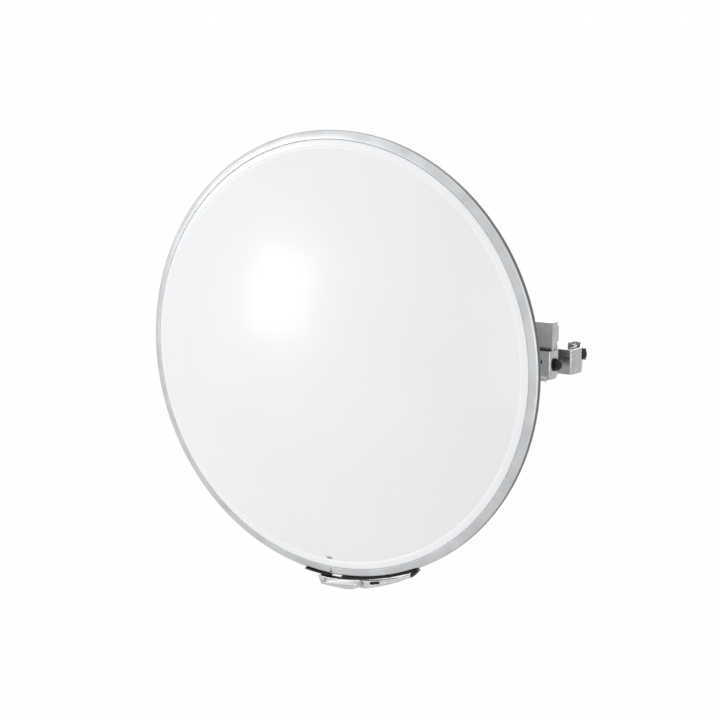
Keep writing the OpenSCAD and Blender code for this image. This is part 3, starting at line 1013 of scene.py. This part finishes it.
@dataclass
class Fittings:
    """The CAD parts that keep their shape and get the edge that their making leaves.

    Attributes:
        edges: Node to edge.
    """

    edges: dict[str, Edge] = field(
        default_factory=lambda: {
            "end_strap_left": Edge.STAMPED,
            "end_strap_right": Edge.STAMPED,
            "strap_rivets": Edge.MACHINED,
            "latch_pivot_pin": Edge.MACHINED,
            "latch_lever": Edge.STAMPED,
            "lever_tip": Edge.MOULDED,
            "latch_link": Edge.STAMPED,
            "link_hook_pin": Edge.MACHINED,
            "link_pivot_pin": Edge.MACHINED,
            "hub_plate": Edge.SHEARED,
            "hub_washers": Edge.STAMPED,
            "hub_nuts": Edge.FORGED,
            "port_socket": Edge.MACHINED,
            "back_frame": Edge.SHEARED,
            "tilt_channel": Edge.SHEARED,
            "tilt_bracket": Edge.SHEARED,
            "mast_hook": Edge.SHEARED,
            "fixed_saddle": Edge.CAST,
            "saddle_bolts": Edge.FORGED,
            "clamp_nut": Edge.FORGED,
            "pivot_washers": Edge.STAMPED,
            "pivot_cap_nut": Edge.FORGED,
            "moving_saddle": Edge.CAST,
        }
    )

    def build(self, shop: Workshop) -> None:
        """Replace each part.

        Args:
            shop: The workshop.
        """
        for node, edge in self.edges.items():
            shop.ease(node, edge.value)


@dataclass(frozen=True)
class ClampScrew:
    """Socket set screw that pushes the moving saddle.

    Attributes:
        radius_mm: Radius over the thread.
        pitch_mm: Pitch of the thread.
        foot_mm: Distance of its foot from the pole's axis.
        length_mm: Its length.
        turn_deg: Direction in which it points, from +X towards +Y.
        socket_mm: Half the socket's width over its corners.
        socket_deep_mm: Depth of the socket.
    """

    radius_mm: float = 4.0
    pitch_mm: float = 1.25
    foot_mm: float = 24.2
    length_mm: float = 13.4
    turn_deg: float = 24.0
    socket_mm: float = 2.3
    socket_deep_mm: float = 4.0

    def build(self, shop: Workshop) -> None:
        """Make the screw and cut its socket.

        Args:
            shop: The workshop.
        """
        low, high = (Vector(c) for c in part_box("clamp_screw"))
        away = Matrix.Translation((0, 0, self.foot_mm * MM))
        lie = Matrix.Rotation(math.pi / 2, 4, "Y")
        turn = Matrix.Rotation(math.radians(self.turn_deg), 4, "Z")
        axes = Matrix.Translation((0, 0, (low.z + high.z) / 2)) @ turn @ lie @ away
        bm = threaded(self.radius_mm * MM, self.pitch_mm * MM, self.length_mm * MM)
        piece = shop.add("clamp_screw_threaded", "jaw", "black_steel", bm, axes, ["clamp_screw"])
        tool = bmesh.new()
        end = axes @ Matrix.Translation((0, 0, self.length_mm * MM))
        add_rod(tool, self.socket_mm * MM, 2 * self.socket_deep_mm * MM, 6, end)
        cut(piece, new_piece("socket_cutter", tool))


@dataclass(frozen=True)
class HubBolts:
    """Four bolts through reflector, hub plate and back frame, with rolled threads behind.

    Attributes:
        radius_mm: Radius over the thread.
        pitch_mm: Pitch of the thread.
        shank_mm: Radius of the plain shank.
        circle_mm: Radius of the bolt circle.
        head_mm: Radius and height of each point of the head, from its foot to the axis.
        face_mm: Height of the reflector's flat.
        tail_mm: Height of the bolts' ends.
        thread_mm: Length of the thread.
        overlap_mm: How far the shank reaches into the thread.
    """

    radius_mm: float = 3.0
    pitch_mm: float = 1.0
    shank_mm: float = 2.8
    circle_mm: float = 52.0
    head_mm: tuple[Point, ...] = ((7.0, 0.0), (7.0, 0.5), (5.0, 2.6), (3.8, 3.0), (0.0, 3.0))
    face_mm: float = -108.66
    tail_mm: float = -125.66
    thread_mm: float = 10.0
    overlap_mm: float = 0.5

    def build(self, shop: Workshop) -> None:
        """Make the four bolts as one piece.

        Args:
            shop: The workshop.
        """
        low = self.tail_mm + self.thread_mm - self.overlap_mm
        outline = [(0.0, low), (self.shank_mm, low), (self.shank_mm, self.face_mm)]
        outline += [(r, self.face_mm + z) for r, z in self.head_mm]
        bolt = spun([Vector(p) * MM for p in outline], 40)
        thread = threaded(self.radius_mm * MM, self.pitch_mm * MM, self.thread_mm * MM)
        bmesh.ops.translate(thread, verts=thread.verts, vec=(0, 0, self.tail_mm * MM))
        join_into(bolt, thread)
        bmesh.ops.translate(bolt, verts=bolt.verts, vec=(self.circle_mm * MM, 0, 0))
        four = bmesh.new()
        for quarter in range(4):
            turned = bolt.copy()
            turn = Matrix.Rotation(math.radians(45 + 90 * quarter), 3, "Z")
            bmesh.ops.rotate(turned, verts=turned.verts, cent=(0, 0, 0), matrix=turn)
            join_into(four, turned)
        bolt.free()
        axes = shop.dish_axes()
        shop.add("hub_bolts_threaded", "dish", "zinc_steel", four, axes, ["hub_bolts"])


@dataclass(frozen=True)
class LockRing:
    """Moulded bayonet ring with finger grooves between its two grips.

    Attributes:
        wall_mm: Outer radius of the ring.
        groove_mm: Radius of each groove.
        depth_mm: Depth of each groove.
        low_mm: Height of the grooves' rear end.
        high_mm: Height of their front end.
        step_deg: Angle between grooves.
        clear_deg: Angle kept free on each side of a grip.
    """

    wall_mm: float = 40.0
    groove_mm: float = 1.5
    depth_mm: float = 0.8
    low_mm: float = -152.0
    high_mm: float = -130.0
    step_deg: int = 9
    clear_deg: float = 15.0

    def build(self, shop: Workshop) -> None:
        """Ease the ring and cut its grooves.

        Args:
            shop: The workshop.
        """
        piece = shop.ease("port_lock_ring", Edge.MOULDED.value)
        tool = bmesh.new()
        out = self.wall_mm - self.depth_mm + self.groove_mm
        middle = Matrix.Translation(Vector((out, 0, (self.low_mm + self.high_mm) / 2)) * MM)
        length = (self.high_mm - self.low_mm) * MM
        for degrees in range(0, 360, self.step_deg):
            if abs(degrees % 180 - 90) < self.clear_deg:
                continue
            turn = Matrix.Rotation(math.radians(degrees), 4, "Z")
            add_rod(tool, self.groove_mm * MM, length, 16, shop.dish_axes() @ turn @ middle)
        cut(piece, new_piece("groove_cutter", tool))


# ---- studio ------------------------------------------------------------------


@dataclass(frozen=True)
class SoftBox:
    """An area lamp that faces the rim centre.

    Attributes:
        name: The lamp's name.
        toward: Direction from the rim centre to the lamp.
        distance: Distance from the rim centre.
        size: Width and height of the box.
        watts: Its power.
    """

    name: str
    toward: Triple
    distance: float
    size: Point
    watts: float

    def build(self, rim: Vector) -> None:
        """Add the lamp.

        Args:
            rim: Rim centre in the row frame.
        """
        data = bpy.data.lights.new(self.name, "AREA")
        data.shape = "RECTANGLE"
        data.size, data.size_y = self.size
        data.energy = self.watts
        shown = bpy.data.objects.new(self.name, data)
        away = Vector(self.toward).normalized()
        facing = away.to_track_quat("Z", "Y").to_matrix().to_4x4()
        shown.matrix_world = Matrix.Translation(rim + away * self.distance) @ facing
        bpy.context.scene.collection.objects.link(shown)


@dataclass(frozen=True)
class Studio:
    """Floor, light and camera.

    Attributes:
        camera_from_rim: Camera place relative to the rim centre.
        back: Direction from the scene to the camera, along its axis.
        lens: Focal length.
        sensor: Width of the sensor.
        floor_z: Height of the floor.
        floor_half: Half the floor's width.
        daylight: Strength of the world as a light.
        floor_white: Share of plain white in the floor that the camera sees.
        lamps: The soft boxes.
    """

    camera_from_rim: Triple = (1.57714, -2.49498, 0.53639)
    back: Triple = (0.5179, -0.8362, 0.1805)
    lens: float = 116.8
    sensor: float = 36.0
    floor_z: float = -1.1
    floor_half: float = 30.0
    daylight: float = 0.78
    floor_white: float = 0.98
    lamps: tuple[SoftBox, ...] = (
        SoftBox("key", (-0.66, -0.74, 0.16), 2.6, (1.1, 1.1), 16.5),
        SoftBox("front_right", (0.72, -0.69, 0.02), 2.6, (1.0, 2.0), 9.0),
        SoftBox("top", (-0.2, -0.4, 0.9), 2.4, (2.0, 2.0), 4.0),
        SoftBox("rear", (-0.3, 0.9, 0.35), 2.6, (1.6, 1.6), 15.0),
    )

    def build(self, rim: Vector) -> None:
        """Make the whole studio.

        Args:
            rim: Rim centre in the row frame.
        """
        self.camera(rim)
        self.world()
        self.floor()
        for lamp in self.lamps:
            lamp.build(rim)

    def camera(self, rim: Vector) -> None:
        """Set the camera that matches the photograph's view.

        Args:
            rim: Rim centre in the row frame.
        """
        back = Vector(self.back).normalized()
        right = Vector((0, 0, 1)).cross(back).normalized()
        up = back.cross(right)
        turn = Matrix((right, up, back)).transposed().to_4x4()
        data = bpy.data.cameras.new("view")
        data.lens = self.lens
        data.sensor_width = self.sensor
        shown = bpy.data.objects.new("view", data)
        shown.matrix_world = Matrix.Translation(rim + Vector(self.camera_from_rim)) @ turn
        bpy.context.scene.collection.objects.link(shown)
        bpy.context.scene.camera = shown

    def world(self) -> None:
        """White to the eye and in reflections, a weaker white as light."""
        made = bpy.data.worlds.new("studio")
        bpy.context.scene.world = made
        made.use_nodes = True
        tree = made.node_tree
        tree.nodes.clear()
        kind = "ShaderNodeBackground"
        light = put(tree, kind, {"Color": linear("#fdfdfd"), "Strength": self.daylight})
        white = put(tree, kind, {"Color": WHITE, "Strength": 1.0})
        inputs = {0: self.seen(tree), 1: light.outputs[0], 2: white.outputs[0]}
        mixed = put(tree, "ShaderNodeMixShader", inputs)
        put(tree, "ShaderNodeOutputWorld", {"Surface": mixed.outputs[0]})

    @staticmethod
    def seen(tree: Tree) -> Socket:
        """1 for a ray of the camera, of a reflection or through glass.

        Args:
            tree: The tree that takes the nodes.

        Returns:
            The factor socket.
        """
        path = put(tree, "ShaderNodeLightPath")
        any_of = path.outputs["Is Camera Ray"]
        for ray in ("Is Glossy Ray", "Is Transmission Ray"):
            inputs = {0: any_of, 1: path.outputs[ray]}
            any_of = put(tree, "ShaderNodeMath", inputs, operation="MAXIMUM").outputs[0]
        return any_of

    def floor(self) -> None:
        """A plain pale floor that keeps a faint shadow."""
        bm = bmesh.new()
        bmesh.ops.create_grid(bm, x_segments=1, y_segments=1, size=self.floor_half)
        bmesh.ops.translate(bm, verts=bm.verts, vec=(0, 0, self.floor_z))
        shown = new_piece("floor", bm)
        made = bpy.data.materials.new("matt_floor")
        made.use_nodes = True
        tree = made.node_tree
        tree.nodes.clear()
        pale = put(tree, "ShaderNodeBsdfDiffuse", {"Color": linear("#f2f2f2")})
        white = put(tree, "ShaderNodeEmission", {"Color": WHITE, "Strength": 1.0})
        inputs = {0: self.seen(tree), 1: self.floor_white}
        share = put(tree, "ShaderNodeMath", inputs, operation="MULTIPLY")
        inputs = {0: share.outputs[0], 1: pale.outputs[0], 2: white.outputs[0]}
        mixed = put(tree, "ShaderNodeMixShader", inputs)
        put(tree, "ShaderNodeOutputMaterial", {"Surface": mixed.outputs[0]})
        shown.data.materials.append(made)


def make_finishes(rim: Vector) -> dict[str, bpy.types.Material]:
    """Make every finish.

    Args:
        rim: Rim centre in the row frame.

    Returns:
        Material slot to material.
    """
    centre = tuple(rim)
    finishes: dict[str, Finish] = {
        # Injection-moulded ASA: an even satin skin with a soft, slow waviness
        "radome_white": Finish(
            "moulded_asa_white", "#eaebec", "#e7e8ea", roughness=0.34, ior=1.51,
            mottle_mm=180.0, grain_mm=1.6, grain_depth=0.015, coat=Coat.THIN,
        ),
        # Powder coat: a fine orange peel
        "dish_white": Finish(
            "powder_coat_white", "#e4e6e8", "#dfe1e3", roughness=0.42,
            mottle_mm=90.0, grain_mm=1.4, grain_depth=0.05,
        ),
        # EPDM rubber: dull, slightly bloomed
        "seal_rubber": Finish(
            "epdm_rubber", "#232325", "#1a1a1c", roughness=0.75, ior=1.52,
            mottle_mm=20.0, grain_mm=0.5, grain_depth=0.1,
        ),
        # Roll-formed galvanised strip: lines along the rim, and a painted dark reflection on the
        # web
        "band_steel": RolledBand(
            "rolled_galvanised_strip", "#cfd1d3", "#bfc1c3", roughness=0.36, metallic=1.0,
            mottle_mm=30.0, grain_mm=0.5, grain_depth=0.08, centre=centre,
        ),
        # Zinc plate: bright, with a small spangle
        "latch_steel": ZincSpangle(
            "zinc_plated_pressing", "#d2d2d0", "#bcbcba", roughness=0.42, metallic=1.0,
            mottle_mm=12.0, grain_mm=0.5, grain_depth=0.06, spangle_mm=2.0,
        ),
        # Hot-dip galvanised sheet: glossy, with a spangle of a few millimetres
        "bracket_steel": ZincSpangle(
            "hot_dip_galvanised_steel", "#bcbcbb", "#a6a6a5", roughness=0.26, metallic=1.0,
            mottle_mm=16.0, grain_mm=0.6, grain_depth=0.05, spangle_mm=3.0,
        ),
        # Plated fasteners: no spangle
        "zinc_steel": Finish(
            "zinc_plated_steel", "#c4c5c6", "#a8a9aa", roughness=0.36, metallic=1.0,
            mottle_mm=6.0, grain_mm=0.4, grain_depth=0.05,
        ),
        # Black oxide on steel: near black with a waxy gloss
        "black_steel": Finish(
            "black_oxide_steel", "#111113", "#0b0b0d", roughness=0.42, ior=1.38,
            mottle_mm=5.0, grain_mm=0.4, grain_depth=0.06,
        ),
        # Glass-filled nylon: matt, with the mould's fine texture
        "black_plastic": Finish(
            "glass_filled_nylon", "#161618", "#101012", roughness=0.55, ior=1.4,
            mottle_mm=14.0, grain_mm=0.5, grain_depth=0.12,
        ),
        # Turned from rod: rings of the tool
        "feed_plastic": Turned(
            "turned_polymer", "#e8e7e1", "#dedcd5", roughness=0.45, ior=1.49,
            grain_mm=0.5, grain_depth=0.08, centre=centre,
        ),
        "bare_aluminium": Turned(
            "turned_aluminium", "#d0d2d4", "#bec0c2", roughness=0.3, metallic=1.0,
            mottle_mm=30.0, grain_mm=0.4, grain_depth=0.12, centre=centre,
        ),
        # Die-cast alloy, tumbled: dull grey with a pebbled skin
        "cast_alloy": Finish(
            "tumbled_die_cast_alloy", "#8d8e90", "#77787a", roughness=0.52, metallic=1.0,
            mottle_mm=8.0, grain_mm=0.9, grain_depth=0.25,
        ),
    }
    return {slot: finish.build() for slot, finish in finishes.items()}


def main() -> None:
    """Build the object in order and report each piece."""
    logging.basicConfig(level=logging.INFO, format="%(message)s")
    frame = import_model()
    bpy.context.scene.view_settings.view_transform = "Standard"
    shop = Workshop.open(frame)
    shop.finishes = make_finishes(shop.rim)
    Studio().build(shop.rim)
    for node in frame["nodes"]:
        shop.finish_node(node)
    kinds = (Reflector, Radome, ClampBand, Fittings, ClampScrew, HubBolts, LockRing)
    for kind in kinds:
        kind().build(shop)


if __name__ == "__main__":
    main()
